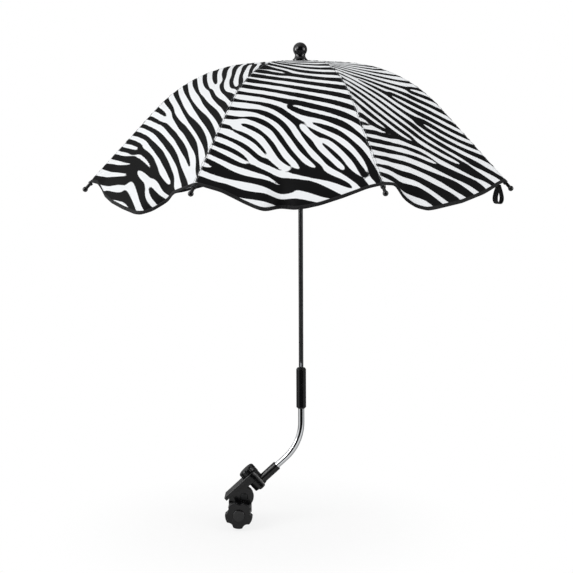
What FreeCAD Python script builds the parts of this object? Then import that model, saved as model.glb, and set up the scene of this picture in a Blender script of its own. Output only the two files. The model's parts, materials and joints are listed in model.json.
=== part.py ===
import FreeCAD, Part
import math
import os

# Pram parasol: screw clamp, two-axis joint, bent tube, coupler, pole and a folding eight-rib canopy.
# Millimetres, +Z up. The origin is the centre of the tube that the clamp grips, which runs along X.

# Shared clearances
run_clearance = 0.05
face_gap = 0.3
overrun = 1.0

# Tube that the clamp grips, and the rubber on both jaws
grip_radius = 11.0
grip_rubber = 3.5
rear_rubber_half_height = 9.7
moving_rubber_half_height = 8.5
rubber_length = 30.0

# Clamp body: a C open downwards
clamp_half_width = 19.0
rear_arm_thickness = 10.0
front_arm_thickness = 8.5
clamp_arm_bottom = -16.0
bridge_clearance = 0.5
bridge_thickness = 6.0
clamp_edge_round = 3.0
jaw_opening_travel = 10.0
jaw_closing_travel = 5.0

# Moving pad, screw and star knob
shoe_thickness = 1.7
shoe_half_width = 13.0
screw_radius = 4.0
bush_radius = 7.0
bush_stand = 1.5
knob_lobe_radius = 24.0
knob_valley_radius = 20.2
knob_lobe_count = 5
knob_turn_deg = 49.0
knob_thickness = 15.0
knob_edge_round = 2.0
knob_lobe_round = 3.0
knob_spare_gap = 0.5
knob_cap_radius = 10.4
knob_cap_height = 3.0
knob_cap_seat = 2.0

# Tilt joint: a round lug on the clamp's front arm and a cheek on the bracket, axis along Y
tilt_x = 8.3
tilt_z = 27.5
tilt_lug_radius = 15.5
tilt_lug_ahead = 5.7
tilt_lug_depth = 12.0
tilt_cheek_radius = 17.0
tilt_cheek_thickness = 8.0
tilt_cheek_half_width = 14.0
bolt_radius = 4.0
bolt_head_radius = 6.5
bolt_head_height = 4.0
nut_height = 5.5

# Swivel joint: a hub at the end of the socket arm
hub_distance = 33.0
hub_radius = 13.0
hub_half_height = 8.0
bracket_lug_radius = 14.0
bracket_plate_low = 16.0
bracket_plate_high = 23.0
bracket_plate_tail = 26.0
bracket_plate_half_width = 18.0
bracket_edge_round = 2.0
swivel_knob_radius = 15.0
swivel_knob_height = 10.0
swivel_knob_round = 4.0
swivel_knob_flute_count = 12
swivel_knob_flute_radius = 2.0
swivel_bolt_engage = 6.0

# Socket arm and the bent tube
arm_pitch_deg = 42.6
socket_radius = 8.0
socket_length = 45.4
socket_depth = 25.0
socket_lip_round = 1.2
tube_radius = 5.4
tube_wall = 1.0
tube_straight_low = 19.9
tube_bend_radius = 86.0
tube_straight_high = 24.0

# Coupler sleeve
coupler_radius = 8.5
coupler_length = 71.5
coupler_top_radius = 6.6
coupler_top_taper = 2.4
coupler_bottom_round = 2.5
coupler_tube_depth = 16.0
coupler_web = 2.0

# Pole
pole_radius = 4.0
pole_wall = 0.7
pole_into_finial = 11.0

# Canopy: the outer line of the cover over a rib, from the cap to the corner
rib_count = 8
canopy_turn_deg = -3.0
apex_above_coupler = 523.4
corner_radius = 360.0
cover_hole_radius = 9.0
shoulder_start_radius = 100.0
shoulder_start_deg = 7.0
shoulder_radius = 250.0
skirt_slope_deg = 46.5
cover_thickness = 0.8
gore_gap = 0.4

# Hem flap: drop below the corner line, its slope, and the tuck in each panel
hem_drop = 40.0
hem_slope_deg = 70.0
hem_corner_share = 0.06
tuck_depth = 20.0
# Sections of one rib's share of the cover: azimuth as a share of the half panel, drop share, tuck share
gore_section_shares = [
    (-1.0, 1.0, 0.0),
    (-0.5, 0.72, 0.0),
    (0.0, hem_corner_share, 0.0),
    (0.36, 0.58, 0.0),
    (0.60, 0.88, 0.0),
    (0.72, 0.82, 1.0),
    (0.84, 0.97, 0.3),
    (1.0, 1.0, 0.0),
]

# Crown at the pole's top, with the ring of wire that the ribs hinge on
hinge_ring_radius = 8.0
hinge_drop = 7.0
wire_radius = 0.6
wire_clearance = 0.1
crown_radius = 11.0
crown_depth = 9.0
crown_slot_clearance = 0.3
crown_slot_floor = 5.2

# Ribs and their tips
rib_width = 2.4
rib_height = 3.2
rib_cover_gap = 0.9
rib_eye_radius = 2.2
rib_past_corner = 4.0
rib_lug_slope_deg = 39.0
rib_lug_drop = 6.0
rib_lug_radius = 2.7
rib_lug_cheek = 0.8
rib_lug_length = 9.0
tip_ball_radius = 4.3
tip_neck_radius = 2.6
tip_neck_length = 10.0
tip_grip = 6.0

# Stretchers
stretcher_width = 2.0
stretcher_height = 3.0
stretcher_eye_radius = 2.4
rivet_radius = 1.0
rivet_head_radius = 1.9
rivet_head_height = 0.5

# Runner
fold_deg = 59.0
runner_length = 88.0
runner_head_height = 11.0
runner_sleeve_radius = 6.2
runner_bore_clearance = 0.25
runner_slit_clearance = 0.4

# Spring catches in the pole
catch_width = 1.6
catch_height = 10.0
catch_stand = 2.2
catch_inner = 1.0
catch_slot_clearance = 0.15
open_catch_gap = 0.5
closed_catch_above_coupler = 1.5

# Finial and the cap under it
finial_ball_radius = 11.9
finial_waist_radius = 9.0
finial_base_radius = 12.7
finial_base_height = 5.0
finial_waist_height = 10.5
cap_radius = 14.0
cap_thickness = 1.0

# Closure strap, a loop of ribbon at one corner
strap_rib_index = 3
strap_width = 9.0
strap_length = 30.0
strap_loop_width = 12.0
strap_thickness = 1.2
strap_along_share = 0.3

# Worked-out directions and places
up = FreeCAD.Vector(0, 0, 1)
along_x = FreeCAD.Vector(1, 0, 0)
along_y = FreeCAD.Vector(0, 1, 0)
zero = FreeCAD.Vector(0, 0, 0)
arm_pitch = math.radians(arm_pitch_deg)
arm_dir = FreeCAD.Vector(math.cos(arm_pitch), 0, math.sin(arm_pitch))
swivel_dir = FreeCAD.Vector(-math.sin(arm_pitch), 0, math.cos(arm_pitch))
rear_arm_inner = grip_radius + grip_rubber
shoe_back = -(grip_radius + grip_rubber + shoe_thickness)
front_arm_inner = shoe_back - jaw_opening_travel - face_gap
front_arm_outer = front_arm_inner - front_arm_thickness
tilt_lug_back = front_arm_outer + tilt_lug_depth
cheek_back = front_arm_outer - face_gap
cheek_front = cheek_back - tilt_cheek_thickness
bolt_seat = cheek_front + bolt_head_height
knob_back = cheek_front - knob_spare_gap - jaw_closing_travel
knob_front = knob_back - knob_thickness
# The arm, the bent tube and the pole all stand in one plane in front of the gripped tube
plane_y = front_arm_outer + tilt_lug_ahead
tilt_centre = FreeCAD.Vector(tilt_x, plane_y, tilt_z)
hub_centre = tilt_centre + arm_dir * hub_distance
bend_end = hub_centre + arm_dir * (socket_length + tube_straight_low)
bend_deg = 90.0 - arm_pitch_deg
bend_centre = bend_end + swivel_dir * tube_bend_radius
pole_x = bend_centre.x + tube_bend_radius
bend_start_z = bend_centre.z
coupler_bottom_z = bend_start_z + tube_straight_high
coupler_top_z = coupler_bottom_z + coupler_length
apex_z = coupler_top_z + apex_above_coupler
pole_bottom_z = coupler_bottom_z + coupler_tube_depth + coupler_web
bridge_bottom = grip_radius + bridge_clearance
bridge_top = bridge_bottom + bridge_thickness
shaft_bore_radius = bolt_radius + run_clearance
cap_bottom_z = apex_z + face_gap
finial_bottom_z = cap_bottom_z + cap_thickness
pole_top_z = finial_bottom_z + pole_into_finial


def rz(radius, height):
    """A point of a half-plane through the pole's axis, as radius and height."""
    return FreeCAD.Vector(radius, 0, height)


def normal_at(slope_deg):
    """Outward normal of the cover where it slopes down by slope_deg."""
    slope = math.radians(slope_deg)
    return rz(math.sin(slope), math.cos(slope))


def downhill(slope_deg):
    """Direction outwards and down at slope_deg."""
    slope = math.radians(slope_deg)
    return rz(math.cos(slope), -math.sin(slope))


# Centres of the two arcs of the cover's line over a rib
crest_radius = (shoulder_start_radius - cover_hole_radius) / math.sin(math.radians(shoulder_start_deg))
crest_centre = rz(cover_hole_radius, apex_z - crest_radius)
shoulder_start = crest_centre + normal_at(shoulder_start_deg) * crest_radius
shoulder_centre = shoulder_start - normal_at(shoulder_start_deg) * shoulder_radius
rib_offset = cover_thickness + rib_cover_gap + rib_height / 2
rib_arc_radius = shoulder_radius - rib_offset
hinge_point = rz(hinge_ring_radius, apex_z - hinge_drop)
lug_foot = shoulder_centre + normal_at(rib_lug_slope_deg) * rib_arc_radius
lug_point = lug_foot - normal_at(rib_lug_slope_deg) * rib_lug_drop
lug_arm = lug_point - hinge_point
linkage_length = lug_arm.Length
open_deg = math.degrees(math.atan2(-lug_arm.z, lug_arm.x))
runner_drop_open = 2 * linkage_length * math.sin(math.radians(open_deg))
runner_drop_closed = 2 * linkage_length * math.sin(math.radians(open_deg + fold_deg))
runner_travel = runner_drop_closed - runner_drop_open
runner_pivot = rz(hinge_ring_radius, hinge_point.z - runner_drop_open)
runner_top_z = runner_pivot.z + runner_head_height / 2
runner_bottom_z = runner_top_z - runner_length
open_catch_top_z = runner_bottom_z - open_catch_gap
closed_catch_top_z = coupler_top_z + closed_catch_above_coupler + catch_height
bore_in_rib = wire_radius + wire_clearance


def rod(start, direction, length, radius):
    """Cylinder of a length along a direction."""
    return Part.makeCylinder(radius, length, start, direction)


def slab(x_low, x_high, y_low, y_high, z_low, z_high):
    """Box between its low and high faces."""
    corner = FreeCAD.Vector(x_low, y_low, z_low)
    return Part.makeBox(x_high - x_low, y_high - y_low, z_high - z_low, corner)


def outline_solid(points, direction, depth):
    """Straight-sided outline pushed along a direction."""
    face = Part.Face(Part.makePolygon(points + points[:1]))
    return face.extrude(direction * depth)


def turned(points):
    """Solid turned about the Z axis from an outline of radius and height."""
    return Part.Face(Part.makePolygon(points + points[:1])).revolve(zero, up, 360)


def rounded(solid, radius, wanted):
    """Round the edges that a test picks."""
    edges = [edge for edge in solid.Edges if wanted(edge)]
    return solid.makeFillet(radius, edges)


def in_arm_frame(solid):
    """Place a solid drawn with X along the arm and Z along the swivel axis at the hub."""
    turn = FreeCAD.Rotation(along_y, -arm_pitch_deg)
    placed = solid.copy()
    placed.Placement = FreeCAD.Placement(hub_centre, turn)
    return placed


def on_pole(solid):
    """Place a solid drawn about the Z axis on the pole."""
    return solid.translated(FreeCAD.Vector(pole_x, plane_y, 0))


def at_azimuth(solid, azimuth_deg):
    """Turn a solid drawn in the XZ half-plane about the pole. Zero is the front, +90 the right."""
    turned_solid = solid.copy()
    turned_solid.rotate(zero, up, azimuth_deg - 90)
    return on_pole(turned_solid)


def rib_azimuth(index):
    """Azimuth of one rib in degrees."""
    step = 360.0 / rib_count
    return canopy_turn_deg + step * (index - (rib_count // 2 - 1) / 2)


def save(name, shape):
    """Write one node."""
    shape.exportStep("parts/" + name + ".step")


def is_along(edge, direction):
    """True for a straight edge along a direction."""
    if edge.Curve.TypeId != "Part::GeomLine":
        return False
    return abs(abs(edge.Curve.Direction.dot(direction)) - 1) < 1e-6


def off_axis(edge):
    """True for an edge along Y that is a corner of a lobe."""
    return math.hypot(edge.CenterOfMass.x, edge.CenterOfMass.z) > knob_valley_radius


def clamp_body():
    """C-shaped body with the tilt lug on its front arm."""
    body = slab(-clamp_half_width, clamp_half_width, front_arm_outer, rear_arm_inner + rear_arm_thickness,
                clamp_arm_bottom, bridge_top)
    mouth = slab(-clamp_half_width - overrun, clamp_half_width + overrun, front_arm_inner, rear_arm_inner,
                 clamp_arm_bottom - overrun, bridge_bottom)
    body = rounded(body, clamp_edge_round, lambda edge: is_along(edge, up) or is_along(edge, along_x))
    body = body.cut(mouth)
    lug = rod(FreeCAD.Vector(tilt_x, front_arm_outer, tilt_z), along_y, tilt_lug_depth, tilt_lug_radius)
    neck_left = tilt_x - tilt_lug_radius
    neck = slab(neck_left, clamp_half_width, front_arm_outer, tilt_lug_back, bridge_bottom, tilt_z)
    body = body.fuse(lug).fuse(neck)
    bolt_hole = rod(FreeCAD.Vector(tilt_x, front_arm_outer - overrun, tilt_z), along_y,
                    tilt_lug_depth + 2 * overrun, shaft_bore_radius)
    bush_hole = rod(FreeCAD.Vector(0, front_arm_outer - overrun, 0), along_y,
                    front_arm_thickness + 2 * overrun, bush_radius + run_clearance)
    return body.cut(bolt_hole).cut(bush_hole).removeSplitter()


def rear_jaw_pad():
    """Rubber with a round seat on the fixed jaw."""
    pad = slab(-rubber_length / 2, rubber_length / 2, 0, rear_arm_inner,
               -rear_rubber_half_height, rear_rubber_half_height)
    return pad.cut(rod(along_x * (-rubber_length), along_x, 2 * rubber_length, grip_radius))


def pad_rubber():
    """Rubber with a round seat on the moving pad."""
    pad = slab(-rubber_length / 2, rubber_length / 2, shoe_back + shoe_thickness, 0,
               -moving_rubber_half_height, moving_rubber_half_height)
    return pad.cut(rod(along_x * (-rubber_length), along_x, 2 * rubber_length, grip_radius))


def pad_shoe():
    """Plate that the screw pushes."""
    shoe = slab(-shoe_half_width, shoe_half_width, shoe_back, shoe_back + shoe_thickness,
                -moving_rubber_half_height, moving_rubber_half_height)
    return rounded(shoe, shoe_thickness, lambda edge: is_along(edge, along_y))


def screw_bush():
    """Threaded bush in the front arm, drawn plain."""
    length = front_arm_thickness + bush_stand
    bush = rod(FreeCAD.Vector(0, front_arm_inner, 0), -along_y, length, bush_radius)
    hole = rod(FreeCAD.Vector(0, front_arm_inner + overrun, 0), -along_y, length + 2 * overrun,
               screw_radius + run_clearance)
    return bush.cut(hole)


def clamp_screw():
    """Screw from the shoe to the knob."""
    start = shoe_back - face_gap
    return rod(FreeCAD.Vector(0, start, 0), -along_y, start - knob_front - knob_cap_seat, screw_radius)


def clamp_knob():
    """Star knob: rounded lobes with hollows between them."""
    core = rod(FreeCAD.Vector(0, knob_back, 0), -along_y, knob_thickness, knob_lobe_radius)
    step = 360.0 / knob_lobe_count
    hollow_reach = knob_lobe_radius * math.sin(math.radians(step / 4))
    sag = knob_lobe_radius - knob_valley_radius
    hollow_radius = (hollow_reach ** 2 + sag ** 2) / (2 * sag)
    for lobe in range(knob_lobe_count):
        angle = math.radians(knob_turn_deg + step * (lobe + 1 / 2))
        reach = knob_valley_radius + hollow_radius
        place = FreeCAD.Vector(reach * math.cos(angle), knob_back + overrun, reach * math.sin(angle))
        core = core.cut(rod(place, -along_y, knob_thickness + 2 * overrun, hollow_radius))
    core = rounded(core, knob_lobe_round, lambda edge: is_along(edge, along_y) and off_axis(edge))
    core = rounded(core, knob_edge_round, lambda edge: not is_along(edge, along_y))
    seat = rod(FreeCAD.Vector(0, knob_front - overrun, 0), along_y, knob_cap_seat + overrun,
               knob_cap_radius + run_clearance)
    bore = rod(FreeCAD.Vector(0, knob_back + overrun, 0), -along_y, knob_thickness + 2 * overrun,
               screw_radius + run_clearance)
    return core.cut(seat).cut(bore)


def knob_cap():
    """Domed round cap in the knob's face."""
    start = FreeCAD.Vector(0, knob_front + knob_cap_seat, 0)
    cap = rod(start, -along_y, knob_cap_seat + knob_cap_height, knob_cap_radius)
    front = knob_front - knob_cap_height
    return rounded(cap, knob_cap_height / 2, lambda edge: abs(edge.CenterOfMass.y - front) < run_clearance)


def cross_bolt(head_face, shank_length, nut_face):
    """Bolt along Z from its head's inner face, with its nut as a second solid."""
    head = rod(up * head_face, -up, bolt_head_height, bolt_head_radius)
    head = rounded(head, bolt_head_height / 2,
                   lambda edge: abs(edge.CenterOfMass.z - head_face + bolt_head_height) < run_clearance)
    shank = rod(up * head_face, up, shank_length, bolt_radius)
    solids = [head.fuse(shank)]
    if nut_face is not None:
        corners = [FreeCAD.Vector(bolt_head_radius * math.cos(math.radians(60 * side)),
                                  bolt_head_radius * math.sin(math.radians(60 * side)), nut_face)
                   for side in range(6)]
        nut = outline_solid(corners, up, nut_height)
        solids.append(nut.cut(rod(up * nut_face, up, nut_height, shaft_bore_radius)))
    return Part.makeCompound(solids)


def tilt_bolt():
    """Bolt and nut of the tilt joint, along Y."""
    nut_face = tilt_lug_back + face_gap
    bolt = cross_bolt(bolt_seat, nut_face + nut_height - bolt_seat, nut_face)
    bolt.rotate(zero, along_x, -90)
    return bolt.translated(FreeCAD.Vector(tilt_x, 0, tilt_z))


def tilt_bracket():
    """Bracket: cheek on the tilt lug, plate along the arm, lug on the swivel hub."""
    front = cheek_front - plane_y
    back = cheek_back - plane_y
    tilt_along = -hub_distance
    cheek = rod(FreeCAD.Vector(tilt_along, front, 0), along_y, tilt_cheek_thickness, tilt_cheek_radius)
    web = slab(tilt_along - tilt_cheek_half_width, tilt_along + tilt_cheek_half_width, front, back,
               0, bracket_plate_low + overrun)
    plate = slab(tilt_along - bracket_plate_tail, bracket_lug_radius, -bracket_plate_half_width,
                 bracket_plate_half_width, bracket_plate_low, bracket_plate_high)
    plate = rounded(plate, bracket_lug_radius, lambda edge: is_along(edge, up) and edge.CenterOfMass.x > 0)
    plate = rounded(plate, bracket_edge_round,
                    lambda edge: edge.CenterOfMass.z > bracket_plate_high - run_clearance)
    lug_low = hub_half_height + face_gap
    lug = rod(up * lug_low, up, bracket_plate_low + overrun - lug_low, bracket_lug_radius)
    rib_web = slab(tilt_along, 0, front, back, lug_low, bracket_plate_low + overrun)
    bracket = cheek.fuse(web).fuse(plate).fuse(lug).fuse(rib_web)
    swivel_hole = rod(zero, up, bracket_plate_high + overrun, shaft_bore_radius)
    tilt_hole = rod(FreeCAD.Vector(tilt_along, front - overrun, 0), along_y,
                    tilt_cheek_thickness + 2 * overrun, shaft_bore_radius)
    head_seat = rod(FreeCAD.Vector(tilt_along, bolt_seat - plane_y, 0), -along_y, bolt_head_height + overrun,
                    bolt_head_radius + face_gap)
    return in_arm_frame(bracket.cut(swivel_hole).cut(tilt_hole).cut(head_seat).removeSplitter())


def arm_socket():
    """Hub and the socket that holds the bent tube."""
    hub = rod(-up * hub_half_height, up, 2 * hub_half_height, hub_radius)
    arm = rod(zero, along_x, socket_length, socket_radius)
    arm = rounded(arm, socket_lip_round, lambda edge: abs(edge.CenterOfMass.x - socket_length) < run_clearance)
    body = hub.fuse(arm)
    bore = rod(along_x * (socket_length - socket_depth), along_x, socket_depth + overrun,
               tube_radius + run_clearance)
    hole = rod(-up * (hub_half_height + overrun), up, 2 * (hub_half_height + overrun), shaft_bore_radius)
    return in_arm_frame(body.cut(bore).cut(hole).removeSplitter())


def swivel_bolt():
    """Bolt of the swivel joint, its head under the hub and its thread in the knob."""
    head_face = -hub_half_height
    length = bracket_plate_high + swivel_bolt_engage - head_face
    return in_arm_frame(cross_bolt(head_face, length, None))


def swivel_knob():
    """Domed, fluted knob that locks the swivel joint."""
    base = bracket_plate_high + face_gap
    knob = rod(up * base, up, swivel_knob_height, swivel_knob_radius)
    top = base + swivel_knob_height
    knob = rounded(knob, swivel_knob_round, lambda edge: abs(edge.CenterOfMass.z - top) < run_clearance)
    for flute in range(swivel_knob_flute_count):
        angle = 2 * math.pi * flute / swivel_knob_flute_count
        place = FreeCAD.Vector(swivel_knob_radius * math.cos(angle), swivel_knob_radius * math.sin(angle),
                               base - overrun)
        knob = knob.cut(rod(place, up, swivel_knob_height + 2 * overrun, swivel_knob_flute_radius))
    bore = rod(up * (base - overrun), up, swivel_bolt_engage + overrun, shaft_bore_radius)
    return in_arm_frame(knob.cut(bore))


def lower_tube():
    """Bent tube from the socket to the coupler."""
    def stretch(radius):
        low_start = bend_end - arm_dir * (tube_straight_low + socket_depth - face_gap)
        low = rod(low_start, arm_dir, tube_straight_low + socket_depth - face_gap, radius)
        disc = Part.Face(Part.Wire(Part.makeCircle(radius, bend_end, arm_dir)))
        bend = disc.revolve(bend_centre, along_y, -bend_deg)
        high_length = tube_straight_high + coupler_tube_depth - face_gap
        high = rod(FreeCAD.Vector(pole_x, plane_y, bend_start_z), up, high_length, radius)
        return low.fuse(bend).fuse(high).removeSplitter()
    return stretch(tube_radius).cut(stretch(tube_radius - tube_wall))


def coupler_sleeve():
    """Sleeve that turns on the bent tube and holds the pole."""
    bottom = coupler_bottom_z
    points = [rz(0, bottom), rz(coupler_radius - coupler_bottom_round, bottom),
              rz(coupler_radius, bottom + coupler_bottom_round),
              rz(coupler_radius, coupler_top_z - coupler_top_taper), rz(coupler_top_radius, coupler_top_z),
              rz(0, coupler_top_z)]
    tube_bore = rod(up * (bottom - overrun), up, coupler_tube_depth + overrun, tube_radius + run_clearance)
    pole_bore = rod(up * pole_bottom_z, up, coupler_length, pole_radius + run_clearance)
    return on_pole(turned(points).cut(tube_bore).cut(pole_bore))


def catch_slot(top_z):
    """Slot in the pole for one catch, drawn in the front half-plane."""
    half = catch_width / 2 + catch_slot_clearance
    return slab(catch_inner, pole_radius + overrun, -half, half, top_z - catch_height - catch_slot_clearance,
                top_z + catch_slot_clearance)


def pole():
    """Painted tube from the coupler to the finial, slotted for the catches."""
    foot = FreeCAD.Vector(pole_x, plane_y, pole_bottom_z + face_gap)
    length = pole_top_z - foot.z
    tube = rod(foot, up, length, pole_radius).cut(rod(foot, up, length, pole_radius - pole_wall))
    for top_z in (open_catch_top_z, closed_catch_top_z):
        tube = tube.cut(at_azimuth(catch_slot(top_z), canopy_turn_deg))
    return tube


def spring_catch(top_z):
    """Leaf catch: square on top, sloped below."""
    half = catch_width / 2
    outer = pole_radius + catch_stand
    low = top_z - catch_height
    points = [FreeCAD.Vector(catch_inner, -half, low), FreeCAD.Vector(pole_radius, -half, low),
              FreeCAD.Vector(outer, -half, top_z - catch_stand), FreeCAD.Vector(outer, -half, top_z),
              FreeCAD.Vector(catch_inner, -half, top_z)]
    return at_azimuth(outline_solid(points, along_y, catch_width), canopy_turn_deg)


def slotted_head(top_z, height, floor_radius, width):
    """Disc with a slot for each rib, grooved for the wire ring, drawn about the Z axis."""
    disc = rod(up * (top_z - height), up, height, crown_radius)
    half = width / 2 + crown_slot_clearance
    for index in range(rib_count):
        cut = slab(floor_radius, crown_radius + overrun, -half, half, top_z - height - overrun, top_z + overrun)
        cut.rotate(zero, up, rib_azimuth(index) - 90)
        disc = disc.cut(cut)
    return disc


def wire_ring(height):
    """Ring of wire that the hinges sit on."""
    return on_pole(Part.makeTorus(hinge_ring_radius, wire_radius, up * height))


def wire_groove(height):
    """Room for the wire ring."""
    return Part.makeTorus(hinge_ring_radius, wire_radius + wire_clearance, up * height)


def crown():
    """Crown that the ribs hinge in."""
    top = apex_z - cover_thickness - face_gap
    head = slotted_head(top, crown_depth, crown_slot_floor, rib_width)
    head = head.cut(wire_groove(hinge_point.z))
    bore = rod(up * (top - crown_depth - overrun), up, crown_depth + 2 * overrun, pole_radius + run_clearance)
    return on_pole(head.cut(bore))


def runner():
    """Runner: a slotted head for the stretchers on a split sleeve."""
    head = slotted_head(runner_top_z, runner_head_height, runner_sleeve_radius, stretcher_width)
    head = head.cut(wire_groove(runner_pivot.z))
    sleeve = rod(up * runner_bottom_z, up, runner_length, runner_sleeve_radius)
    body = head.fuse(sleeve)
    bore = rod(up * (runner_bottom_z - overrun), up, runner_length + 2 * overrun,
               pole_radius + runner_bore_clearance)
    half = catch_width / 2 + runner_slit_clearance
    slit = slab(0, crown_radius + overrun, -half, half, runner_bottom_z - overrun, runner_top_z + overrun)
    tooth_half = hinge_ring_radius * math.sin(math.pi / rib_count)
    gap = slab(runner_sleeve_radius, crown_radius + overrun, -tooth_half, tooth_half,
               runner_top_z - runner_head_height - overrun, runner_top_z + overrun)
    slit = slit.fuse(gap)
    slit.rotate(zero, up, canopy_turn_deg - 90)
    return on_pole(body.cut(bore).cut(slit).removeSplitter())


def strip(lines, half_height):
    """Flat bar in the XZ half-plane along start, arc and end points, as a closed wire."""
    start, bend_in, arc_centre, bend_out, end = lines

    def edge_line(side):
        first = (bend_in - arc_centre).normalize() * (half_height * side)
        last = (bend_out - arc_centre).normalize() * (half_height * side)
        middle = (bend_in - arc_centre).normalize() + (bend_out - arc_centre).normalize()
        middle = middle.normalize() * ((bend_in - arc_centre).Length + half_height * side)
        arc = Part.Arc(bend_in + first, arc_centre + middle, bend_out + last)
        return [Part.LineSegment(start + first, bend_in + first).toShape(), arc.toShape(),
                Part.LineSegment(bend_out + last, end + last).toShape()]

    top = edge_line(1)
    bottom = edge_line(-1)
    near = Part.LineSegment(bottom[0].Vertexes[0].Point, top[0].Vertexes[0].Point).toShape()
    far = Part.LineSegment(top[-1].Vertexes[-1].Point, bottom[-1].Vertexes[-1].Point).toShape()
    return Part.Wire(Part.__sortEdges__(top + bottom + [near, far]))


def rib_line():
    """Centre line of a rib: hinge, arc and end points."""
    to_hinge = hinge_point - shoulder_centre
    hinge_angle = math.atan2(to_hinge.z, to_hinge.x)
    touch = hinge_angle - math.acos(rib_arc_radius / to_hinge.Length)
    bend_in = shoulder_centre + rz(math.cos(touch), math.sin(touch)) * rib_arc_radius
    bend_out = shoulder_centre + normal_at(skirt_slope_deg) * rib_arc_radius
    run = (corner_radius + rib_past_corner - bend_out.x) / math.cos(math.radians(skirt_slope_deg))
    return hinge_point, bend_in, shoulder_centre, bend_out, bend_out + downhill(skirt_slope_deg) * run


def across(solid_or_face, low, high):
    """Push a face of the XZ half-plane from one side position to another."""
    return solid_or_face.translated(along_y * low).extrude(along_y * (high - low))


def disc_face(centre, radius):
    """Round face in the XZ half-plane."""
    return Part.Face(Part.Wire(Part.makeCircle(radius, centre, along_y)))


def rib(index):
    """Rib with its eye at the crown and the lug for its stretcher."""
    half = rib_width / 2
    bar = across(Part.Face(strip(rib_line(), rib_height / 2)), -half, half)
    eye = across(disc_face(hinge_point, rib_eye_radius), -half, half)
    bar = bar.fuse(eye)
    hole_reach = half + rib_lug_cheek + overrun
    bar = bar.cut(across(disc_face(hinge_point, bore_in_rib), -hole_reach, hole_reach))
    tangent = downhill(rib_lug_slope_deg)
    foot = lug_foot
    plate = [foot - tangent * (rib_lug_length / 2), foot + tangent * (rib_lug_length / 2),
             lug_point + tangent * rib_lug_radius, lug_point - tangent * rib_lug_radius]
    cheek_face = Part.Face(Part.makePolygon(plate + plate[:1]))
    for low, high in ((half, half + rib_lug_cheek), (-half - rib_lug_cheek, -half)):
        cheek = across(cheek_face, low, high).fuse(across(disc_face(lug_point, rib_lug_radius), low, high))
        bar = bar.fuse(cheek)
    bar = bar.cut(across(disc_face(lug_point, rivet_radius + run_clearance), -hole_reach, hole_reach))
    return at_azimuth(bar.removeSplitter(), rib_azimuth(index))


def rib_tip(index):
    """Ball tip pushed on the end of a rib."""
    end = rib_line()[-1]
    direction = downhill(skirt_slope_deg)
    neck = rod(end - direction * tip_grip, direction, tip_neck_length, tip_neck_radius)
    ball_centre = end + direction * (tip_neck_length - tip_grip + tip_ball_radius / 2)
    ball = Part.makeSphere(tip_ball_radius, ball_centre)
    half = rib_width / 2 + run_clearance
    socket = strip(rib_line(), rib_height / 2 + run_clearance)
    tip = neck.fuse(ball).cut(across(Part.Face(socket), -half, half))
    return at_azimuth(tip, rib_azimuth(index))


def stretcher(index):
    """Stretcher from the rib's lug to just short of the runner's ring, with its rivet."""
    half = stretcher_width / 2
    toward = (runner_pivot - lug_point).normalize()
    side = FreeCAD.Vector(-toward.z, 0, toward.x) * (stretcher_height / 2)
    stop = runner_pivot - toward * (wire_radius + face_gap)
    bar_points = [lug_point + side, stop + side, stop - side, lug_point - side]
    bar_face = Part.Face(Part.makePolygon(bar_points + bar_points[:1]))
    bar = across(bar_face, -half, half).fuse(across(disc_face(lug_point, stretcher_eye_radius), -half, half))
    hole = across(disc_face(lug_point, rivet_radius + run_clearance), -half - overrun, half + overrun)
    grip = rib_width / 2 + rib_lug_cheek + run_clearance
    rivet = across(disc_face(lug_point, rivet_radius), -grip, grip)
    for low, high in ((grip, grip + rivet_head_height), (-grip - rivet_head_height, -grip)):
        rivet = rivet.fuse(across(disc_face(lug_point, rivet_head_radius), low, high))
    pair = Part.makeCompound([bar.cut(hole).removeSplitter(), rivet.removeSplitter()])
    return at_azimuth(pair, rib_azimuth(index))


def cover_points(offset):
    """Points of the cover's line over a rib, moved inwards by an offset."""
    crest = crest_radius - offset
    shoulder = shoulder_radius - offset
    skirt_out = shoulder_centre + normal_at(skirt_slope_deg) * shoulder
    run = (corner_radius - offset - skirt_out.x) / math.cos(math.radians(skirt_slope_deg))
    shoulder_middle_deg = (shoulder_start_deg + skirt_slope_deg) / 2
    return [crest_centre + rz(0, crest), crest_centre + normal_at(shoulder_start_deg / 2) * crest,
            crest_centre + normal_at(shoulder_start_deg) * crest,
            shoulder_centre + normal_at(shoulder_middle_deg) * shoulder, skirt_out,
            skirt_out + downhill(skirt_slope_deg) * run]


def panel_angle(half_panel_share):
    """Angle from the rib to a section of the cover, in degrees."""
    return half_panel_share * 180.0 / rib_count


def section_line(half_panel_share, drop_share, tuck_share, offset):
    """Points of the cover on one plane through the pole, from the cap to the hem."""
    half_panel = math.pi / rib_count
    angle = math.radians(panel_angle(half_panel_share))
    chord_share = math.cos(half_panel) / math.cos(half_panel - abs(angle))
    flap_slope = math.radians(skirt_slope_deg + (hem_slope_deg - skirt_slope_deg) * drop_share)
    points = [rz(point.x * chord_share, point.z) for point in cover_points(offset)]
    drop = hem_drop * drop_share
    corner = points[-1]
    flap_out = drop * math.cos(flap_slope) / math.sin(flap_slope)
    points.append(rz(corner.x + flap_out - tuck_depth * tuck_share, corner.z - drop))
    return points


def section_edges(points):
    """Arcs over the dome, then straight runs down the skirt and the hem flap."""
    return [Part.Arc(points[0], points[1], points[2]).toShape(),
            Part.Arc(points[2], points[3], points[4]).toShape(),
            Part.LineSegment(points[4], points[5]).toShape(),
            Part.LineSegment(points[5], points[6]).toShape()]


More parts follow.
